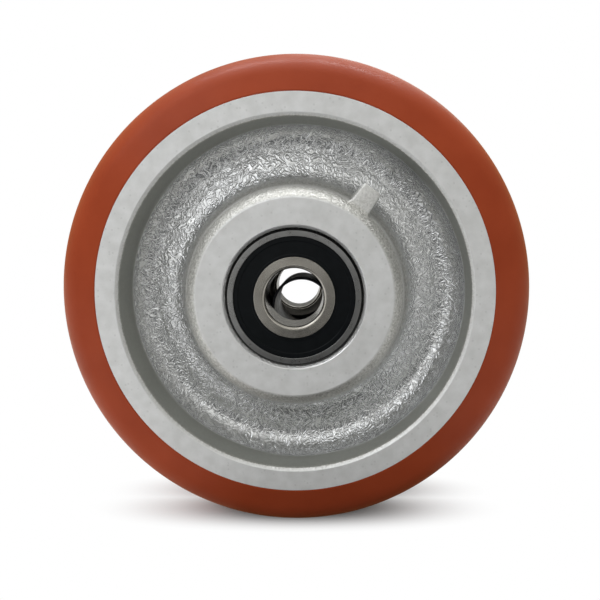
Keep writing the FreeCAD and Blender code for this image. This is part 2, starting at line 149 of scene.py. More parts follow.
def makeTurningGroup():
    # fine lines left by the lathe: rings on a face, hoops on a barrel
    driftScale = 60.0       # of the noise that makes the lines waver
    bandShare = 0.11        # how many bands of sheen come to one line
    tree, given, out = newTree("turningLines", "ShaderNodeTree", {
        "Vector": "NodeSocketVector",
        "Pitch": 0.3 * mm,
        "Waver": 0.1 * mm,
    }, {"Height": "NodeSocketFloat", "Sheen": "NodeSocketFloat"})
    parts, radius = splitPlace(tree, given["Vector"])
    across = mathNode(tree, "ADD", radius, parts["Y"])
    drift = addNode(tree, "ShaderNodeTexNoise", {
        "Vector": given["Vector"], "Scale": driftScale,
    }).outputs["Fac"]
    wavered = mathNode(tree, "MULTIPLY_ADD", drift, given["Waver"], across)
    turns = mathNode(tree, "DIVIDE", wavered, given["Pitch"])
    bands = mathNode(tree, "MULTIPLY", turns, bandShare)
    for output, along, detail in (("Height", turns, 4.0), ("Sheen", bands, 2.0)):
        noise = addNode(tree, "ShaderNodeTexNoise", {"W": along, "Scale": 1.0, "Detail": detail},
                        noise_dimensions="1D").outputs["Fac"]
        setInputs(tree, out, {output: noise})
    return tree


def makeSpeckGroup():
    speckEdge, speckCore = 0.45, 0.2    # where a speck starts and where it is full, in shares of its cell
    tree, given, out = newTree("specks", "ShaderNodeTree", {
        "Vector": "NodeSocketVector",
        "Size": 0.5 * mm,
        "Share": 0.1,
    }, {"Mask": "NodeSocketFloat"})
    cells = addNode(tree, "ShaderNodeTexVoronoi", {
        "Vector": given["Vector"],
        "Scale": mathNode(tree, "DIVIDE", 1.0, given["Size"]),
    }).outputs
    picked = addNode(tree, "ShaderNodeSeparateColor", {0: cells["Color"]}).outputs[0]
    chosen = mathNode(tree, "LESS_THAN", picked, given["Share"])
    near = rampNode(tree, cells["Distance"], speckEdge, speckCore)
    setInputs(tree, out, {"Mask": mathNode(tree, "MULTIPLY", chosen, near)})
    return tree


def makeBandGroup():
    # 1 between two radii about the axle, with soft edges
    tree, given, out = newTree("radiusBand", "ShaderNodeTree", {
        "Vector": "NodeSocketVector",
        "Inner": 10 * mm,
        "Outer": 20 * mm,
        "Softness": 0.1 * mm,
    }, {"Mask": "NodeSocketFloat"})
    radius = splitPlace(tree, given["Vector"])[1]
    edges = []
    for far, near in ((radius, given["Inner"]), (given["Outer"], radius)):
        within = mathNode(tree, "SUBTRACT", far, near)
        edges.append(mathNode(tree, "DIVIDE", within, given["Softness"], clamp=True))
    setInputs(tree, out, {"Mask": mathNode(tree, "MULTIPLY", *edges)})
    return tree


grainGroup = makeGrainGroup()
turningGroup = makeTurningGroup()
speckGroup = makeSpeckGroup()
bandGroup = makeBandGroup()


def newMaterial(name):
    material = bpy.data.materials.new(name)
    material.use_nodes = True
    tree = material.node_tree
    tree.nodes.clear()
    shader = addNode(tree, "ShaderNodeBsdfPrincipled")
    addNode(tree, "ShaderNodeOutputMaterial", {"Surface": shader.outputs[0]})
    where = addNode(tree, "ShaderNodeTexCoord").outputs["Object"]
    return material, tree, shader, where


def placeGroup(tree, group, where, output, inputs):
    return addNode(tree, "ShaderNodeGroup", {"Vector": where, **inputs}, node_tree=group).outputs[output]


def addGrain(tree, where, grain):
    return placeGroup(tree, grainGroup, where, "Value", grain)


def addBand(tree, where, band):
    return placeGroup(tree, bandGroup, where, "Mask", band)


# the mix node numbers its sockets by type: 0 the share, 2 and 3 values, 6 and 7 colours

def mixColor(tree, share, first, second):
    return addNode(tree, "ShaderNodeMix", {0: share, 6: first, 7: second}, data_type="RGBA").outputs[2]


def mixValue(tree, share, first, second):
    return addNode(tree, "ShaderNodeMix", {0: share, 2: first, 3: second}, data_type="FLOAT").outputs[0]


def bumpNode(tree, height, distance):
    bump = addNode(tree, "ShaderNodeBump", {"Height": height, "Distance": distance, "Strength": 1.0})
    return bump.outputs[0]


# materials; a grain, a band and the like are given as the inputs of their shared group

treadLooks = {
    "color": linear(166, 71, 41),
    "deep": linear(154, 63, 35),
    "cloud": {"Size": 22 * mm, "Detail": 4.0},
    "roughness": {"Size": 6 * mm, "Detail": 5.0, "Low": 0.4, "High": 0.5},
    "specular": 0.06,
    "gloss": {"Size": 9 * mm, "Detail": 3.0, "Low": 0.06, "High": 0.1},     # thin skin that the mould leaves
    "glossRoughness": 0.2,
    "glossIor": 1.3,
    "glow": 0.22,               # light that leaks through the edges of the casting
    "glowColor": linear(255, 190, 110),
    "glowRoughness": 0.35,
    "peel": {"Size": 1.1 * mm, "Detail": 2.0},
    "peelDepth": 0.012 * mm,
}


def makeTreadMaterial(looks):
    material, tree, shader, where = newMaterial("castPolyurethane")
    cloud = addGrain(tree, where, looks["cloud"])
    peel = addGrain(tree, where, looks["peel"])
    setInputs(tree, shader, {
        "Base Color": mixColor(tree, cloud, looks["color"], looks["deep"]),
        "Roughness": addGrain(tree, where, looks["roughness"]),
        "Coat Weight": addGrain(tree, where, looks["gloss"]),
        "Normal": bumpNode(tree, peel, looks["peelDepth"]),
        "Specular IOR Level": looks["specular"],
        "Coat Roughness": looks["glossRoughness"],
        "Coat IOR": looks["glossIor"],
        "Sheen Weight": looks["glow"],
        "Sheen Tint": looks["glowColor"],
        "Sheen Roughness": looks["glowRoughness"],
    })
    return material


coreLooks = {
    "skin": linear(228, 229, 229),
    "skinValleyShade": linear(194, 195, 195),
    "skinGloss": {"Size": 2 * mm, "Detail": 3.0, "Low": 0.2, "High": 0.27},
    "skinMetal": 0.85,
    "wrinkles": {"Size": 3.1 * mm, "Detail": 0.8, "Distortion": 2.2},
    "wrinkleDepth": 0.15 * mm,
    "fine": {"Size": 0.7 * mm, "Detail": 2.0, "Distortion": 0.5},
    "fineDepth": 0.02 * mm,
    "swell": {"Size": 24 * mm, "Detail": 2.0, "Low": 0.55, "High": 1.2},    # patches of stronger wrinkles
    "wall": linear(172, 173, 167),          # painted shade: the rim's turned inner wall is darker and greenish, for the shade in that recess
    "wallShadeBand": {"Inner": 56 * mm, "Outer": 62.62 * mm},
    "sand": linear(232, 231, 226),          # the boss's edge and the lug, where the lacquer is thin
    "sandDark": linear(180, 179, 172),
    "sandDepth": 0.15 * mm,                 # of the mould's sand, which shows through there
    "satin": {"Size": 1.2 * mm, "Detail": 4.0, "Low": 0.4, "High": 0.56},   # wall and sand
    "face": linear(230, 230, 229),
    "faceShade": linear(216, 216, 214),
    "faceGloss": {"Size": 3 * mm, "Detail": 4.0, "Low": 0.52, "High": 0.64},
    "faceMetal": 0.2,
    "mottle": {"Size": 4 * mm, "Detail": 8.0},
    "pit": linear(124, 124, 120),
    "specks": {"Size": 1.1 * mm, "Share": 0.10},
    "speckShare": 0.15,                     # how dark the specks are
    "lines": {"Pitch": 0.35 * mm, "Waver": 0.2 * mm},
    "turnedDepth": 0.006 * mm,
    "bright": linear(250, 250, 249),        # bare iron with a painted highlight: near-white chamfers of the seat and the rim
    "brightGloss": 0.3,
    "brightMetal": 0.6,
    "seatBand": {"Inner": 23.8 * mm, "Outer": 24.75 * mm},
    "rimBand": {"Inner": 62.62 * mm, "Outer": 63.5 * mm},
    "rimShare": 0.5,                        # how much of the bare iron and its painted highlight the rim's chamfer takes
    "seatGrooveShade": linear(9, 9, 9),
    "seatGrooveShadeBand": {"Inner": 23.2 * mm, "Outer": 23.78 * mm},     # painted shade: a near-black ring where the bearing is pressed into the seat
}


def makeCoreMaterial(looks):
    # silver lacquer: hammered over the cast skin, thin and smooth over the turned faces
    material, tree, shader, where = newMaterial("silverLacquer")
    skin = addNode(tree, "ShaderNodeAttribute", attribute_name="castSkin").outputs["Fac"]
    hammer = addNode(tree, "ShaderNodeAttribute", attribute_name="hammered").outputs["Fac"]
    calmShare = mathNode(tree, "SUBTRACT", 1.0, hammer)
    wave = addGrain(tree, where, looks["wrinkles"])
    wrinkle = mathNode(tree, "ABSOLUTE", mathNode(tree, "MULTIPLY_ADD", wave, 2.0, -1.0))
    fine = addGrain(tree, where, looks["fine"])
    wall = addBand(tree, where, looks["wallShadeBand"])
    rimEdge = mathNode(tree, "MULTIPLY", addBand(tree, where, looks["rimBand"]), looks["rimShare"])
    bright = mathNode(tree, "MAXIMUM", addBand(tree, where, looks["seatBand"]), rimEdge)

    # colour: the turned faces, then the skin over them with painted shade in its wrinkles' valleys and on
    # the rim's wall, then the near-white chamfers, bare iron with a painted highlight, and the painted shade
    # round the bearing's seat
    mottle = addGrain(tree, where, looks["mottle"])
    specks = placeGroup(tree, speckGroup, where, "Mask", looks["specks"])
    speckShare = mathNode(tree, "MULTIPLY", specks, looks["speckShare"])
    faceColor = mixColor(tree, mottle, looks["face"], looks["faceShade"])
    speckled = mixColor(tree, speckShare, faceColor, looks["pit"])
    # painted shade: the hammered skin is darker down in its wrinkles' valleys
    valleyShade = mathNode(tree, "MULTIPLY", mathNode(tree, "SUBTRACT", 1.0, wrinkle), hammer)
    skinColor = mixColor(tree, valleyShade, looks["skin"], looks["skinValleyShade"])
    sanded = mixColor(tree, fine, looks["sand"], looks["sandDark"])
    # painted shade: the rim's turned inner wall takes the darker wall colour
    calmColor = mixColor(tree, wall, sanded, looks["wall"])
    coated = mixColor(tree, skin, speckled, mixColor(tree, calmShare, skinColor, calmColor))
    # bare iron with a painted highlight: the seat's and rim's chamfers go near-white
    bareAndHighlighted = mixColor(tree, bright, coated, looks["bright"])
    # painted shade: the seat goes near-black round the bearing's outer ring
    seatGrooveShade = addBand(tree, where, looks["seatGrooveShadeBand"])

    faceGloss, skinGloss, satin = [
        addGrain(tree, where, looks[name]) for name in ("faceGloss", "skinGloss", "satin")
    ]
    gloss = mixValue(tree, skin, faceGloss, mixValue(tree, hammer, satin, skinGloss))
    metal = mixValue(tree, skin, looks["faceMetal"], looks["skinMetal"])

    # relief, in millimetres
    coarse = mathNode(tree, "MULTIPLY", wrinkle, looks["wrinkleDepth"] / mm)
    both = mathNode(tree, "MULTIPLY_ADD", fine, looks["fineDepth"] / mm, coarse)
    hammered = mathNode(tree, "MULTIPLY", both, addGrain(tree, where, looks["swell"]))
    lines = placeGroup(tree, turningGroup, where, "Height", looks["lines"])
    turned = mathNode(tree, "MULTIPLY", lines, looks["turnedDepth"] / mm)
    sandy = mathNode(tree, "MULTIPLY", fine, looks["sandDepth"] / mm)
    thin = mathNode(tree, "MULTIPLY", calmShare, wall)
    calm = mixValue(tree, mathNode(tree, "SUBTRACT", skin, thin), turned, sandy)
    setInputs(tree, shader, {
        "Base Color": mixColor(tree, seatGrooveShade, bareAndHighlighted, looks["seatGrooveShade"]),
        "Roughness": mixValue(tree, bright, gloss, looks["brightGloss"]),
        "Metallic": mixValue(tree, bright, metal, looks["brightMetal"]),
        "Normal": bumpNode(tree, mixValue(tree, hammer, calm, hammered), mm),
    })
    return material


# what all the steels share, and then each one's own looks
steelGrain = {
    "cloud": {"Size": 4 * mm, "Detail": 5.0},
    "gloss": {"Size": 2.5 * mm, "Detail": 2.0},
    "waver": 0.02 * mm,
}
ringLooks = {
    "color": linear(154, 154, 153),
    "shade": linear(136, 135, 133),
    "roughness": (0.26, 0.32),
    "pitch": 0.3 * mm,
    "depth": 0.0006 * mm,
    "brushed": 0.8,
    "chamferShade": linear(7, 7, 7),       # painted shade: the chamfers go near-black, for the shade in the groove between ring and seat
    "chamferShadeBand": {"Inner": 22.62 * mm, "Outer": 24 * mm},
}
innerRingLooks = {
    "color": linear(188, 184, 176),
    "shade": linear(166, 161, 152),
    "roughness": (0.22, 0.27),
    "pitch": 0.3 * mm,
    "depth": 0.0006 * mm,
    "brushed": 0.8,
}
sleeveCentre = sum(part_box("spacer_sleeve"), Vector()) / 2
sleeveLooks = {
    "color": linear(42, 43, 46),
    "shade": linear(28, 29, 31),
    "roughness": (0.3, 0.5),
    "pitch": 0.3 * mm,
    "depth": 0.001 * mm,
    "brushed": 0.3,
    "centre": sleeveCentre,         # its lines run round its own axis
}
ballLooks = {
    "color": linear(214, 214, 214),
    "shade": linear(196, 196, 198),
    "roughness": (0.05, 0.1),
    "pitch": 0.05 * mm,
    "depth": 0.0004 * mm,
    "brushed": 0.0,
}
cageLooks = {
    "color": linear(188, 184, 176),
    "shade": linear(150, 147, 140),
    "roughness": (0.3, 0.42),
    "pitch": 0.2 * mm,
    "depth": 0.003 * mm,
    "brushed": 0.2,
}


def makeSteelMaterial(name, looks):
    material, tree, shader, where = newMaterial(name)
    if "centre" in looks:
        shift = addNode(tree, "ShaderNodeMapping", {"Vector": where, "Location": tuple(-looks["centre"])})
        where = shift.outputs[0]
    turning = {"Pitch": looks["pitch"], "Waver": steelGrain["waver"]}
    sheen, lines = [placeGroup(tree, turningGroup, where, output, turning) for output in ("Sheen", "Height")]
    shade = mathNode(tree, "MULTIPLY", sheen, addGrain(tree, where, steelGrain["cloud"]))
    color = mixColor(tree, shade, looks["color"], looks["shade"])
    # painted shade: the outer ring's chamfers go near-black
    if "chamferShadeBand" in looks:
        color = mixColor(tree, addBand(tree, where, looks["chamferShadeBand"]), color, looks["chamferShade"])
    low, high = looks["roughness"]
    setInputs(tree, shader, {
        "Base Color": color,
        "Roughness": addGrain(tree, where, {**steelGrain["gloss"], "Low": low, "High": high}),
        "Normal": bumpNode(tree, lines, looks["depth"]),
        "Metallic": 1.0,
        "Anisotropic": looks["brushed"],
        "Tangent": addNode(tree, "ShaderNodeTangent", direction_type="RADIAL", axis="Y").outputs[0],
    })
    return material


sealLooks = {
    "color": linear(11, 14, 16),
    "dust": linear(26, 29, 32),
    "dustShare": 0.25,
    "cloud": {"Size": 3 * mm, "Detail": 6.0},
    "roughness": {"Size": 1.2 * mm, "Detail": 3.0, "Low": 0.36, "High": 0.5},
    "specular": 0.11,
    "lines": {"Pitch": 0.25 * mm, "Waver": 0.02 * mm},
    "lineDepth": 0.006 * mm,
}


def makeSealMaterial(looks):
    material, tree, shader, where = newMaterial("sealRubber")
    dust = mathNode(tree, "MULTIPLY", addGrain(tree, where, looks["cloud"]), looks["dustShare"])
    lines = placeGroup(tree, turningGroup, where, "Height", looks["lines"])
    setInputs(tree, shader, {
        "Base Color": mixColor(tree, dust, looks["color"], looks["dust"]),
        "Roughness": addGrain(tree, where, looks["roughness"]),
        "Normal": bumpNode(tree, lines, looks["lineDepth"]),
        "Specular IOR Level": looks["specular"],
    })
    return material


treadMaterial = makeTreadMaterial(treadLooks)
coreMaterial = makeCoreMaterial(coreLooks)
ringMaterial = makeSteelMaterial("groundBearingSteel", ringLooks)
innerRingMaterial = makeSteelMaterial("warmBearingSteel", innerRingLooks)
sleeveMaterial = makeSteelMaterial("darkSleeveSteel", sleeveLooks)
ballMaterial = makeSteelMaterial("polishedBallSteel", ballLooks)
cageMaterial = makeSteelMaterial("pressedCageSteel", cageLooks)
sealMaterial = makeSealMaterial(sealLooks)
print("materials made:", len(bpy.data.materials))


# geometry trees, and the pieces they make

def finishTree(tree, geometry, material, end):
    realized = addNode(tree, "GeometryNodeRealizeInstances", {"Geometry": geometry}).outputs[0]
    painted = addNode(tree, "GeometryNodeSetMaterial", {"Geometry": realized, "Material": material})
    tree.links.new(painted.outputs[0], end)


def makeTurnTree():
    # turns the profile's points (radius in X, place along the axle in Y) round the axle
    tree, given, out = newTree("turnProfile", "GeometryNodeTree", {
        "profile": "NodeSocketGeometry",
        "stepsRound": "NodeSocketInt",
        "weldDistance": 1e-6,
        "material": "NodeSocketMaterial",
    }, {"piece": "NodeSocketGeometry"})
    sized = addNode(tree, "GeometryNodeAttributeDomainSize", {"Geometry": given["profile"]})
    count = sized.outputs["Point Count"]
    rows = mathNode(tree, "ADD", count, 1.0)
    columns = mathNode(tree, "ADD", given["stepsRound"], 1.0)
    grid = addNode(tree, "GeometryNodeMeshGrid", {"Vertices X": columns, "Vertices Y": rows}).outputs["Mesh"]
    index = addNode(tree, "GeometryNodeInputIndex").outputs[0]
    # the half keeps a column's first point clear of rounding
    column = mathNode(tree, "FLOOR", mathNode(tree, "DIVIDE", mathNode(tree, "ADD", index, 0.5), rows))
    row = mathNode(tree, "MODULO", index, rows)
    corner = addNode(tree, "GeometryNodeSampleIndex", {
        "Geometry": given["profile"],
        "Value": addNode(tree, "GeometryNodeInputPosition").outputs[0],
        "Index": mathNode(tree, "MODULO", row, count),
    }, data_type="FLOAT_VECTOR").outputs["Value"]
    parts = addNode(tree, "ShaderNodeSeparateXYZ", {0: corner}).outputs
    angle = mathNode(tree, "MULTIPLY", mathNode(tree, "DIVIDE", column, given["stepsRound"]), math.tau)
    place = addNode(tree, "ShaderNodeCombineXYZ", {
        "X": mathNode(tree, "MULTIPLY", parts["X"], mathNode(tree, "COSINE", angle)),
        "Y": parts["Y"],
        "Z": mathNode(tree, "MULTIPLY", parts["X"], mathNode(tree, "SINE", angle)),
    }).outputs[0]
    turned = addNode(tree, "GeometryNodeSetPosition", {"Geometry": grid, "Position": place}).outputs[0]
    welded = addNode(tree, "GeometryNodeMergeByDistance", {
        "Geometry": turned, "Distance": given["weldDistance"],
    }).outputs[0]
    smooth = addNode(tree, "GeometryNodeSetShadeSmooth", {"Geometry": welded}).outputs[0]
    finishTree(tree, smooth, given["material"], out.inputs["piece"])
    return tree


turnTree = makeTurnTree()


def bakeMesh(piece):
    graph = bpy.context.evaluated_depsgraph_get()
    old = piece.data
    piece.data = bpy.data.meshes.new_from_object(piece.evaluated_get(graph))
    piece.modifiers.clear()
    bpy.data.meshes.remove(old)


def runTree(piece, tree, **inputs):
    modifier = piece.modifiers.new(tree.name, "NODES")
    modifier.node_group = tree
    ids = {item.name: item.identifier for item in tree.interface.items_tree if item.in_out == "INPUT"}
    for name, value in inputs.items():
        modifier[ids[name]] = value
    bakeMesh(piece)


def newPiece(name, mesh):
    piece = bpy.data.objects.new(name, mesh)
    bpy.context.scene.collection.objects.link(piece)
    return piece


def faceOutward(piece):
    shape = bmesh.new()
    shape.from_mesh(piece.data)
    if shape.calc_volume(signed=True) < 0:
        bmesh.ops.reverse_faces(shape, faces=shape.faces)
    shape.to_mesh(piece.data)
    shape.free()


def roundedOutline(corners, runStep, edgeStep=0.25 * mm, arcTurn=math.radians(12)):
    # a closed outline from corners (radius, place along the axle, rounding, step along it if not runStep)
    arcs = []
    stepsAlong = [corner[3] if len(corner) > 3 else runStep for corner in corners]
    for i, (radius, place, rounding) in enumerate(corner[:3] for corner in corners):
        here = Vector((radius, place))
        back = (Vector(corners[i - 1][:2]) - here).normalized()
        ahead = (Vector(corners[(i + 1) % len(corners)][:2]) - here).normalized()
        if rounding == 0:
            arcs.append([here])
            continue
        half = back.angle(ahead) / 2
        centre = here + (back + ahead).normalized() * (rounding / math.sin(half))
        spoke = here + back * (rounding / math.tan(half)) - centre
        sweep = (math.pi - 2 * half) * (1 if back.cross(ahead) < 0 else -1)
        steps = max(2, math.ceil(abs(sweep) / arcTurn), math.ceil(abs(sweep) * rounding / stepsAlong[i]))
        arcs.append([centre + Matrix.Rotation(sweep * k / steps, 2) @ spoke for k in range(steps + 1)])
    points = []
    for i, arc in enumerate(arcs):
        points += arc
        following = (i + 1) % len(arcs)
        start, stop = arc[-1], arcs[following][0]
        run = stop - start
        if run.length > 3 * edgeStep:
            # a point close to each end keeps the shading of the run flat
            middle = run.length - 2 * edgeStep
            steps = math.ceil(middle / min(stepsAlong[i], stepsAlong[following]))
            marks = [edgeStep + middle * k / steps for k in range(steps + 1)]
            points += [start + run.normalized() * mark for mark in marks]
    return points


def bothSides(corners, between=()):
    # the front's corners, what lies between, and the front's corners mirrored to the rear
    mirrored = [(radius, -place, *rest) for radius, place, *rest in reversed(corners)]
    return [*corners, *between, *mirrored]


def turnPiece(name, outline, steps, material, offset=(0, 0, 0)):
    mesh = bpy.data.meshes.new(name)
    mesh.from_pydata([(point.x, point.y, 0) for point in outline], [], [])
    piece = newPiece(name, mesh)
    runTree(piece, turnTree, stepsRound=steps, material=material)
    piece.data.transform(Matrix.Translation(offset))
    faceOutward(piece)
    print(f"turned {name}: {len(piece.data.polygons)} faces")
    return piece


def seatPiece(piece, body, node):
    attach(piece, body)
    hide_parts(node)


# tread

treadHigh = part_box("tread")[1]
coreLow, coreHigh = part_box("wheel_core")
treadSizes = {
    "radius": treadHigh.z,
    "halfWidth": treadHigh.y,
    "rimRadius": coreHigh.x,
    "sideLean": 5.36 * mm,      # how far the side leans in by the time it would meet the crown
    "shoulder": 16.5 * mm,
    "edge": 0.5 * mm,
    "steps": 384,
    "runStep": 1.2 * mm,
    "arcTurn": math.radians(3),
}


def buildTread(sizes):
    corners = bothSides([
        (sizes["rimRadius"], -sizes["halfWidth"], sizes["edge"]),
        (sizes["radius"], -sizes["halfWidth"] + sizes["sideLean"], sizes["shoulder"]),
    ])
    outline = roundedOutline(corners, sizes["runStep"], arcTurn=sizes["arcTurn"])
    piece = turnPiece("tread_casting", outline, sizes["steps"], treadMaterial)
    seatPiece(piece, "wheel", "tread")


# core

coreSizes = {
    "cored": 17 * mm,
    "seat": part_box("front_outer_ring")[1].x,
    "seatFloor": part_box("front_outer_ring")[1].y,
    "seatChamfer": 1.2 * mm,
    "hubFace": -coreLow.y,
    "hubRadius": 37.2 * mm,
    "hubEdge": 9.5 * mm,        # rounding of the boss as cast
    "hubFacing": 0.85 * mm,     # what the facing cut takes off it
    "hubCrisp": 0.08 * mm,      # rounding of the edge that the cut leaves
    "hubEdgeSteps": 14,
    "hubFoot": 41.7 * mm,
    "hubFootHeight": 12.2 * mm,
    "hubRoot": 8.6 * mm,
    "webEdge": 61.3 * mm,
    "webEdgeHeight": 9 * mm,
    "rimRoot": 7 * mm,
    "rimFace": treadHigh.y,
    "rimInner": 63.5 * mm,
    "rimChamfer": 0.9 * mm,
    "rimOuter": coreHigh.x,
    "edge": 0.25 * mm,
    "crisp": 0.1 * mm,          # rounding of the seat's chamfer and the bond's edge
    "steps": 400,
    "runStep": 6 * mm,
    "skinStep": 1.0 * mm,
    "arcTurn": math.radians(20),
    "sharpTurn": math.radians(50),
}
lugSizes = {
    "angle": math.radians(54),
    "root": 30 * mm,
    "neck": 36 * mm,            # where the hollows of its sides start, inside the hub
    "tip": 46 * mm,
    "baseHalf": 4.2 * mm,
    "tipHalf": 3.6 * mm,
    "flare": 3.4 * mm,
    "corner": 1.0 * mm,
    "top": 26.9 * mm,
    "bottom": 8 * mm,
    "edge": 0.9 * mm,
    "draft": math.tan(math.radians(3)),
    "sideSteps": 26,
    "cornerSteps": 5,
    "edgeSteps": 5,
    "wallSteps": 14,
}
# heights are from the wheel's middle along the axle
skinSizes = {
    "wallHeight": 17.2 * mm,    # the rim's wall is turned from here out to its face
    "wallLean": 0.03,           # and from further in on the left, as the casting runs a little out of true
    "wallRadius": 55 * mm,
    "roughHeight": 14.6 * mm,   # full skin below, almost smooth above smoothHeight
    "smoothHeight": 15.6 * mm,
    "roughRadius": 45 * mm,     # full skin outside, almost smooth inside smoothRadius
    "smoothRadius": 41 * mm,
    "leastSkin": 0.05,
    "dullHeight": 19 * mm,      # above this the lug carries a duller coat
    "dullFade": 2 * mm,
    "dullInner": 38 * mm,
    "dullOuter": 52 * mm,
    "dullShare": 0.6,
    "fade": 0.5 * mm,
    "lumpSize": 7 * mm,
    "lumpDepth": 0.35 * mm,
    "peelSize": 2.2 * mm,
    "peelDepth": 0.17 * mm,
    "seed": 4.0,
}


def makeSkinTree(sizes):
    # raises the hammered skin of the casting, and leaves its turned faces and bore flat
    tree, given, out = newTree("castSkin", "GeometryNodeTree", {
        "casting": "NodeSocketGeometry",
        **{name: 0.0 for name in ("hubFace", "rimFace", "rimInner", "bondRadius", "seatRadius")},
        **sizes,
        "material": "NodeSocketMaterial",
    }, {"casting": "NodeSocketGeometry"})

    def less(first, second):
        return mathNode(tree, "SUBTRACT", first, second)

    def faded(distance, reach):
        return mathNode(tree, "DIVIDE", distance, reach, clamp=True)

    place = addNode(tree, "GeometryNodeInputPosition").outputs[0]
    parts, radius = splitPlace(tree, place)
    height = mathNode(tree, "ABSOLUTE", parts["Y"])
    fade = given["fade"]

    # the skin as cast: all that lies away from the hub's face, the seat, the bond and the rim's face
    skin = faded(less(given["hubFace"], height), fade)
    rimAway = mathNode(tree, "MAXIMUM", less(given["rimFace"], height), less(given["rimInner"], radius))
    for away in (less(radius, given["seatRadius"]), less(given["bondRadius"], radius), rimAway):
        skin = mathNode(tree, "MULTIPLY", skin, faded(away, fade))

    # where it is hammered: the web and its roots, up to the rim's turned wall
    least = given["leastSkin"]
    low = rampNode(tree, height, given["smoothHeight"], given["roughHeight"], least, smooth=True)
    far = rampNode(tree, radius, given["smoothRadius"], given["roughRadius"], least, smooth=True)
    outside = mathNode(tree, "GREATER_THAN", radius, given["wallRadius"])
    rough = mathNode(tree, "MINIMUM", mathNode(tree, "MAXIMUM", low, outside), far)
    wallStart = mathNode(tree, "MULTIPLY_ADD", parts["X"], given["wallLean"], given["wallHeight"])
    wallAway = mathNode(tree, "MAXIMUM", less(wallStart, height), less(given["wallRadius"], radius))
    hammered = mathNode(tree, "MULTIPLY", mathNode(tree, "MULTIPLY", skin, rough), faded(wallAway, fade))

    # the lug's duller coat
    high = faded(less(height, given["dullHeight"]), given["dullFade"])
    within = mathNode(tree, "MULTIPLY", mathNode(tree, "LESS_THAN", radius, given["dullOuter"]),
                      mathNode(tree, "GREATER_THAN", radius, given["dullInner"]))
    dull = mathNode(tree, "MULTIPLY", high, within)
    skin = mathNode(tree, "MULTIPLY", skin, rampNode(tree, dull, 0.0, 1.0, 1.0, given["dullShare"]))

    depths = []
    for name in ("lump", "peel"):
        noise = addNode(tree, "ShaderNodeTexNoise", {
            "Vector": place,
            "W": given["seed"],
            "Scale": mathNode(tree, "DIVIDE", 1.0, given[f"{name}Size"]),
            "Detail": 1.0,
        }, noise_dimensions="4D").outputs["Fac"]
        depths.append(mathNode(tree, "MULTIPLY", less(noise, 0.5), given[f"{name}Depth"]))
    rise = mathNode(tree, "MULTIPLY", mathNode(tree, "ADD", *depths), hammered)
    normal = addNode(tree, "GeometryNodeInputNormal").outputs[0]
    offset = addNode(tree, "ShaderNodeVectorMath", {0: normal, "Scale": rise}, operation="SCALE").outputs[0]
    kept = given["casting"]
    for name, value in (("castSkin", skin), ("hammered", hammered)):
        kept = addNode(tree, "GeometryNodeStoreNamedAttribute", {
            "Geometry": kept, "Name": name, "Value": value,
        }, data_type="FLOAT", domain="POINT").outputs[0]
    raised = addNode(tree, "GeometryNodeSetPosition", {"Geometry": kept, "Offset": offset}).outputs[0]
    finishTree(tree, raised, given["material"], out.inputs["casting"])
    return tree


skinTree = makeSkinTree(skinSizes)


def lugPlan(sizes):
    # one side, from inside the hub to the tip's corner; the other side mirrors it
    side = []
    straight = sizes["tip"] - sizes["corner"]
    for k in range(sizes["sideSteps"] + 1):
        along = sizes["root"] + (straight - sizes["root"]) * k / sizes["sideSteps"]
        share = (along - sizes["root"]) / (sizes["tip"] - sizes["root"])
        half = sizes["baseHalf"] + (sizes["tipHalf"] - sizes["baseHalf"]) * share
        past = min(max(along - sizes["neck"], 0), sizes["flare"])
        half += sizes["flare"] - math.sqrt(sizes["flare"] ** 2 - (sizes["flare"] - past) ** 2)
        side.append(Vector((along, half)))
    for k in range(1, sizes["cornerSteps"] + 1):
        turn = math.pi / 2 * k / sizes["cornerSteps"]
        side.append(Vector((
            straight + sizes["corner"] * math.sin(turn),
            sizes["tipHalf"] - sizes["corner"] * (1 - math.cos(turn)),
        )))
    return side + [Vector((point.x, -point.y)) for point in reversed(side)]


def lugLayers(sizes):
    # (how far below the top, how far the plan grows), from the top edge down into the web
    layers = []
    for k in range(sizes["edgeSteps"] + 1):
        turn = math.pi / 2 * k / sizes["edgeSteps"]
        layers.append((sizes["edge"] * (1 - math.cos(turn)), -sizes["edge"] * (1 - math.sin(turn))))
    wall = sizes["top"] - sizes["bottom"] - sizes["edge"]
    for k in range(1, sizes["wallSteps"] + 1):
        down = wall * k / sizes["wallSteps"]
        layers.append((sizes["edge"] + down, down * sizes["draft"]))
    return layers


def buildLug(sizes):
    plan = lugPlan(sizes)
    count = len(plan)
    outward = []
    for i in range(count):
        along = (plan[(i + 1) % count] - plan[i - 1]).normalized()
        outward.append(Vector((-along.y, along.x)))
    shape = bmesh.new()
    turn = Matrix.Rotation(-sizes["angle"], 3, "Y")
    rings = []
    for down, grow in lugLayers(sizes):
        points = [plan[i] + outward[i] * grow for i in range(count)]
        rings.append([
            shape.verts.new(turn @ Vector((point.x, down - sizes["top"], point.y))) for point in points
        ])
    for upper, lower in zip(rings, rings[1:]):
        for i in range(count):
            shape.faces.new((upper[i - 1], upper[i], lower[i], lower[i - 1]))
    shape.faces.new(rings[0])
    shape.faces.new(rings[-1])
    bmesh.ops.recalc_face_normals(shape, faces=shape.faces)
    mesh = bpy.data.meshes.new("lug")
    shape.to_mesh(mesh)
    shape.free()
    return newPiece("lug", mesh)


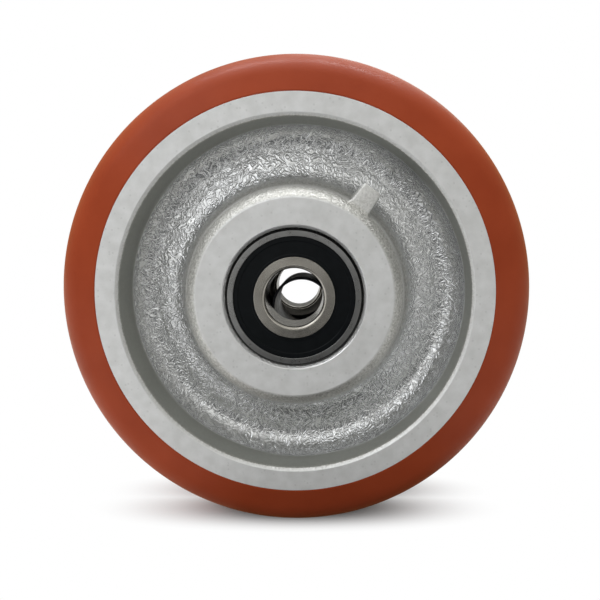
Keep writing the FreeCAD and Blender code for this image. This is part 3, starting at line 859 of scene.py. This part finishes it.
def facedShoulder(sizes):
    # the boss's rounding from the crisp edge of its face down to the flank
    castFace = sizes["hubFace"] + sizes["hubFacing"]
    lean = math.atan2(sizes["hubFoot"] - sizes["hubRadius"], castFace - sizes["hubFootHeight"])
    rounding = sizes["hubEdge"]
    centreRadius = sizes["hubRadius"] - rounding * math.tan((math.pi / 2 - lean) / 2)
    centrePlace = rounding - castFace
    start = math.acos(1 - sizes["hubFacing"] / rounding)
    stop = math.pi / 2 - lean
    points = []
    for k in range(sizes["hubEdgeSteps"] + 1):
        turn = start + (stop - start) * k / sizes["hubEdgeSteps"]
        radius = centreRadius + rounding * math.sin(turn)
        place = centrePlace - rounding * math.cos(turn)
        points.append((radius, place, sizes["hubCrisp"] if k == 0 else 0))
    return points


def buildCore(sizes):
    chamfer = sizes["seatChamfer"]
    wallTop = sizes["rimInner"] - sizes["rimChamfer"]
    corners = bothSides([
        (sizes["cored"], sizes["seatFloor"], sizes["edge"]),
        (sizes["seat"], sizes["seatFloor"], 0),
        (sizes["seat"], -sizes["hubFace"] + chamfer, sizes["crisp"]),
        (sizes["seat"] + chamfer, -sizes["hubFace"], sizes["crisp"]),
        *facedShoulder(sizes),
        (sizes["hubFoot"], -sizes["hubFootHeight"], sizes["hubRoot"], sizes["skinStep"]),
        (sizes["webEdge"], -sizes["webEdgeHeight"], sizes["rimRoot"], sizes["skinStep"]),
        (wallTop, -sizes["rimFace"] + sizes["rimChamfer"], sizes["edge"]),
        (sizes["rimInner"], -sizes["rimFace"], sizes["edge"]),
        (sizes["rimOuter"], -sizes["rimFace"], sizes["crisp"]),
    ])
    outline = roundedOutline(corners, sizes["runStep"], arcTurn=sizes["arcTurn"])
    piece = turnPiece("core_casting", outline, sizes["steps"], coreMaterial)
    lug = buildLug(lugSizes)
    union = piece.modifiers.new("lug", "BOOLEAN")
    union.operation = "UNION"
    union.object = lug
    bakeMesh(piece)
    bpy.data.objects.remove(lug)
    runTree(
        piece, skinTree, **skinSizes,
        hubFace=sizes["hubFace"], rimFace=sizes["rimFace"], rimInner=sizes["rimInner"],
        bondRadius=sizes["rimOuter"], seatRadius=sizes["seat"] - skinSizes["fade"],
        material=coreMaterial,
    )
    piece.data.polygons.foreach_set("use_smooth", [True] * len(piece.data.polygons))
    piece.data.set_sharp_from_angle(angle=sizes["sharpTurn"])
    print("core with its lug:", len(piece.data.polygons), "faces")
    seatPiece(piece, "wheel", "wheel_core")


# bearings

bearingSizes = {
    "chamfer": 0.8 * mm,
    "boreRounding": 1.0 * mm,
    "edge": 0.12 * mm,
    "innerLand": 13.8 * mm,
    "landDepth": 2.15 * mm,
    "innerShoulder": 14.4 * mm,
    "outerShoulder": 19.25 * mm,
    "pitch": 16.75 * mm,
    "race": 4.128 * mm,
    "racePlay": 0.08 * mm,
    "raceSteps": 12,
    "steps": 256,
    "runStep": 1.0 * mm,
}
sealSizes = {
    "lipBand": 0.75 * mm,
    "beadBand": 1.5 * mm,
    "dish": 0.2 * mm,
    "edge": 0.12 * mm,
    "lip": 13.92 * mm,
    "steps": 256,
    "runStep": 0.6 * mm,
}


def racewayPoints(sizes, centre, shoulder, outward):
    # the groove's corners from the front shoulder to the rear one; outward is 1 in the outer ring, else -1
    race = sizes["race"]
    half = math.acos(abs(shoulder - centre) / race)
    points = []
    for k in range(sizes["raceSteps"] + 1):
        turn = -half + 2 * half * k / sizes["raceSteps"]
        points.append((centre + outward * race * math.cos(turn), race * math.sin(turn), 0))
    return points


def buildBearing(side, sign, sizes):
    bore = next(mount for mount in frame["record"]["mounts"] if mount["name"] == f"{side}_axle_bore")
    ringLow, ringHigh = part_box(f"{side}_outer_ring")
    sealLow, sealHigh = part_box(f"{side}_outboard_seal")
    ballLow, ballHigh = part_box(f"{side}_ball_1")
    half = (ringHigh.y - ringLow.y) / 2
    middle = Vector((0, (ringLow.y + ringHigh.y) / 2, 0))
    sealBack = half - (ringHigh.y - sealLow.y if sign > 0 else sealHigh.y - ringLow.y)
    raceShift = sizes["race"] - (ballHigh.y - ballLow.y) / 2 - sizes["racePlay"]

    outer = [
        (ringHigh.x, -half + sizes["chamfer"], sizes["edge"]),
        (ringHigh.x - sizes["chamfer"], -half, sizes["edge"]),
        (sealHigh.x, -half, sizes["edge"]),
        (sealHigh.x, -sealBack, 0),
        (sizes["outerShoulder"], -sealBack, 0),
    ]
    race = racewayPoints(sizes, sizes["pitch"] - raceShift, sizes["outerShoulder"], 1)
    outline = roundedOutline(bothSides(outer, race), sizes["runStep"])
    ring = turnPiece(f"{side}_outer_ring_turned", outline, sizes["steps"], ringMaterial, middle)
    seatPiece(ring, "wheel", f"{side}_outer_ring")

    inner = [
        (bore["dims"]["r_mm"] * mm, -half, sizes["boreRounding"]),
        (sizes["innerLand"], -half, sizes["edge"]),
        (sizes["innerLand"], -half + sizes["landDepth"], 0),
        (sizes["innerShoulder"], -half + sizes["landDepth"], 0),
    ]
    race = racewayPoints(sizes, sizes["pitch"] + raceShift, sizes["innerShoulder"], -1)
    outline = roundedOutline(bothSides(inner, race), sizes["runStep"])
    ring = turnPiece(f"{side}_inner_ring_turned", outline, sizes["steps"], innerRingMaterial, middle)
    seatPiece(ring, "inner_rings", f"{side}_inner_ring")


def buildSeal(node, sign, sizes):
    low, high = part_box(node)
    face, back = (high.y, low.y) if sign > 0 else (low.y, high.y)
    dished = face - sign * sizes["dish"]
    lipEdge = sizes["lip"] + sizes["lipBand"]
    beadEdge = high.x - sizes["beadBand"]
    corners = [(radius, place, sizes["edge"]) for radius, place in (
        (sizes["lip"], back),
        (sizes["lip"], face),
        (lipEdge, face),
        (lipEdge + sizes["dish"], dished),
        (beadEdge - sizes["dish"], dished),
        (beadEdge, face),
        (high.x, face),
        (high.x, back),
    )]
    outline = roundedOutline(corners, sizes["runStep"])
    piece = turnPiece(f"{node}_moulded", outline, sizes["steps"], sealMaterial)
    seatPiece(piece, "wheel", node)


sleeveSizes = {
    "wall": 1 * mm,
    "edge": 0.3 * mm,
    "steps": 192,
    "runStep": 2 * mm,
}


def buildSleeve(sizes):
    low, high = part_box("spacer_sleeve")
    outer = (high.x - low.x) / 2
    half = (high.y - low.y) / 2
    corners = bothSides([
        (outer - sizes["wall"], -half, sizes["edge"]),
        (outer, -half, sizes["edge"]),
    ])
    outline = roundedOutline(corners, sizes["runStep"])
    piece = turnPiece("spacer_sleeve_cut", outline, sizes["steps"], sleeveMaterial, sleeveCentre)
    seatPiece(piece, "inner_rings", "spacer_sleeve")


buildTread(treadSizes)
buildCore(coreSizes)
for side, sign in sides.items():
    buildBearing(side, sign, bearingSizes)
    buildSeal(f"{side}_outboard_seal", sign, sealSizes)
    buildSeal(f"{side}_inboard_seal", -sign, sealSizes)
buildSleeve(sleeveSizes)

# the balls and cages keep their shapes from the frame
hiddenFinishes = {"ball": ballMaterial, "cage": cageMaterial}
for name, node in frame["nodes"].items():
    for kind, material in hiddenFinishes.items():
        if f"_{kind}_" in name:
            node.data.materials.clear()
            node.data.materials.append(material)


# stage, light and camera

# each ellipse on the floor: its centre before and behind the wheel, and its half widths
stageSizes = {
    "floorReach": 4.0,
    "floorColor": (0.9, 0.9, 0.9, 1.0),
    "floorRoughness": 0.9,
    "leftBounce": (0.86, 0.86, 0.86, 1.0),  # what the wheel mirrors of the floor on its two sides
    "rightBounce": (0.64, 0.64, 0.64, 1.0),
    "bounceReach": 150 * mm,                # how far from the middle each side is reached
    "midBounce": (0.08, 0.08, 0.08, 1.0),   # and of the shaded patches before and behind it
    "shades": (
        ((22 * mm, 50 * mm), (60 * mm, 85 * mm)),
        ((10 * mm, 440 * mm), (170 * mm, 350 * mm)),
    ),
    "shadeFade": (0.75, 1.25),
    "shadow": ((0, 6 * mm), (88 * mm, 15 * mm)),
    "shadowFade": (0.28, 1.0),  # between these shares of its reach the floor runs into the white surround
}


def outsideEllipse(tree, where, ellipse, fade):
    # 0 inside and 1 outside, with a soft edge between two shares of the ellipse's reach
    (centreX, centreY), (halfX, halfY) = ellipse
    moved = addNode(tree, "ShaderNodeMapping", {
        "Vector": where,
        "Location": (-centreX / halfX, -centreY / halfY, 0),
        "Scale": (1 / halfX, 1 / halfY, 0),
    }).outputs[0]
    away = addNode(tree, "ShaderNodeVectorMath", {0: moved}, operation="LENGTH").outputs["Value"]
    return rampNode(tree, away, *fade, smooth=True)


def buildFloor(sizes):
    # the camera sees white with the contact shadow on it; the wheel mirrors a shaded floor
    mesh = bpy.data.meshes.new("floor")
    far = sizes["floorReach"]
    height = cadLow.z
    corners = [(-far, -far, height), (far, -far, height), (far, far, height), (-far, far, height)]
    mesh.from_pydata(corners, [], [(0, 1, 2, 3)])
    floor = newPiece("floor", mesh)
    material, tree, shader, where = newMaterial("paleFloor")
    setInputs(tree, shader, {
        "Base Color": sizes["floorColor"],
        "Roughness": sizes["floorRoughness"],
        "Specular IOR Level": 0.0,
    })
    parts = addNode(tree, "ShaderNodeSeparateXYZ", {0: where}).outputs
    folded = addNode(tree, "ShaderNodeCombineXYZ", {
        "X": parts["X"], "Y": mathNode(tree, "ABSOLUTE", parts["Y"]),
    }).outputs[0]
    aside = mathNode(tree, "MULTIPLY", *[
        outsideEllipse(tree, folded, shade, sizes["shadeFade"]) for shade in sizes["shades"]
    ])
    across = rampNode(tree, parts["X"], -sizes["bounceReach"], sizes["bounceReach"])
    sideways = mixColor(tree, across, sizes["leftBounce"], sizes["rightBounce"])
    mirrored = mixColor(tree, aside, sizes["midBounce"], sideways)
    bounce = addNode(tree, "ShaderNodeBsdfDiffuse", {"Color": mirrored}).outputs[0]
    white = addNode(tree, "ShaderNodeEmission").outputs[0]
    lit = outsideEllipse(tree, folded, sizes["shadow"], sizes["shadowFade"])
    shown = addNode(tree, "ShaderNodeMixShader", {0: lit, 1: shader.outputs[0], 2: white}).outputs[0]
    seen = addNode(tree, "ShaderNodeLightPath").outputs["Is Camera Ray"]
    whole = addNode(tree, "ShaderNodeMixShader", {0: seen, 1: bounce, 2: shown}).outputs[0]
    end = next(node for node in tree.nodes if node.type == "OUTPUT_MATERIAL")
    tree.links.new(whole, end.inputs["Surface"])
    mesh.materials.append(material)


# each softbox: place, size and power; all of them face the wheel
lightSizes = {
    "softboxes": {
        "overheadStrip": ((0, 0.02, 0.6), (0.6, 0.09), 2.2),
        "frontKey": ((-0.44, -0.76, 0.47), (0.6, 0.6), 1.0),
        "frontEdge": ((-0.6, -0.42, 0.68), (0.5, 0.5), 1.7),
        "rearKey": ((0.3, 0.56, 0.78), (0.7, 0.7), 1.9),
    },
    "keyColor": (0.97, 0.99, 1.03),
    "tentColor": (1.0, 1.0, 0.97, 1.0),
    "seenColor": (1.0, 1.0, 1.0, 1.0),      # the camera sees plain white
    "tentBase": 0.12,
    "tentHoop": 0.95,           # the bright hoop round each mouth of the tent
    "hoopInner": (0.2, 0.3),    # dark and lit edge, as sines of the angle from the axle
    "hoopOuter": (0.76, 0.58),
    "tentTop": 1.3,
    "topPower": 4.0,            # how closely the tent's brightness gathers at its top
}


def addArea(name, place, size, power, color):
    light = bpy.data.lights.new(name, "AREA")
    light.shape = "RECTANGLE"
    light.size, light.size_y = size
    light.energy = power
    light.color = color
    lamp = bpy.data.objects.new(name, light)
    lamp.location = place
    lamp.rotation_euler = (-Vector(place)).to_track_quat("-Z", "Y").to_euler()
    bpy.context.scene.collection.objects.link(lamp)


def buildLight(sizes):
    for name, (place, size, power) in sizes["softboxes"].items():
        addArea(name, place, size, power, sizes["keyColor"])
    world = bpy.data.worlds.new("studio")
    bpy.context.scene.world = world
    world.use_nodes = True
    tree = world.node_tree
    tree.nodes.clear()
    direction = addNode(tree, "ShaderNodeTexCoord").outputs["Generated"]
    parts, fromAxle = splitPlace(tree, direction)
    upward = mathNode(tree, "POWER", mathNode(tree, "MAXIMUM", parts["Z"], 0.0), sizes["topPower"])
    edges = [rampNode(tree, fromAxle, *sizes[edge], smooth=True) for edge in ("hoopInner", "hoopOuter")]
    cloth = mixValue(tree, mathNode(tree, "MULTIPLY", *edges), sizes["tentBase"], sizes["tentHoop"])
    level = rampNode(tree, upward, 0.0, 1.0, cloth, sizes["tentTop"])
    seen = addNode(tree, "ShaderNodeLightPath").outputs["Is Camera Ray"]
    background = addNode(tree, "ShaderNodeBackground", {
        "Color": mixColor(tree, seen, sizes["tentColor"], sizes["seenColor"]),
        "Strength": mixValue(tree, seen, level, 1.0),
    })
    addNode(tree, "ShaderNodeOutputWorld", {"Surface": background.outputs[0]})


cameraSizes = {
    "place": (5.5 * mm, -155.4 * mm, 15.4 * mm),
    "pitch": math.radians(-2.92),
    "yaw": 0.004,
    "sensor": 36,
    "lens": 22.38,
    "shift": (-0.015, -0.048),
    "clipStart": 10 * mm,
}


def buildCamera(sizes):
    data = bpy.data.cameras.new("photoCamera")
    data.sensor_width = sizes["sensor"]
    data.lens = sizes["lens"]
    data.shift_x, data.shift_y = sizes["shift"]
    data.clip_start = sizes["clipStart"]
    camera = bpy.data.objects.new("photoCamera", data)
    camera.location = sizes["place"]
    camera.rotation_euler = (math.pi / 2 + sizes["pitch"], 0, sizes["yaw"])
    bpy.context.scene.collection.objects.link(camera)
    bpy.context.scene.camera = camera


buildFloor(stageSizes)
buildLight(lightSizes)
buildCamera(cameraSizes)
bpy.context.scene.view_settings.view_transform = "Standard"
print("stage, light and camera placed")

bpy.context.view_layer.update()
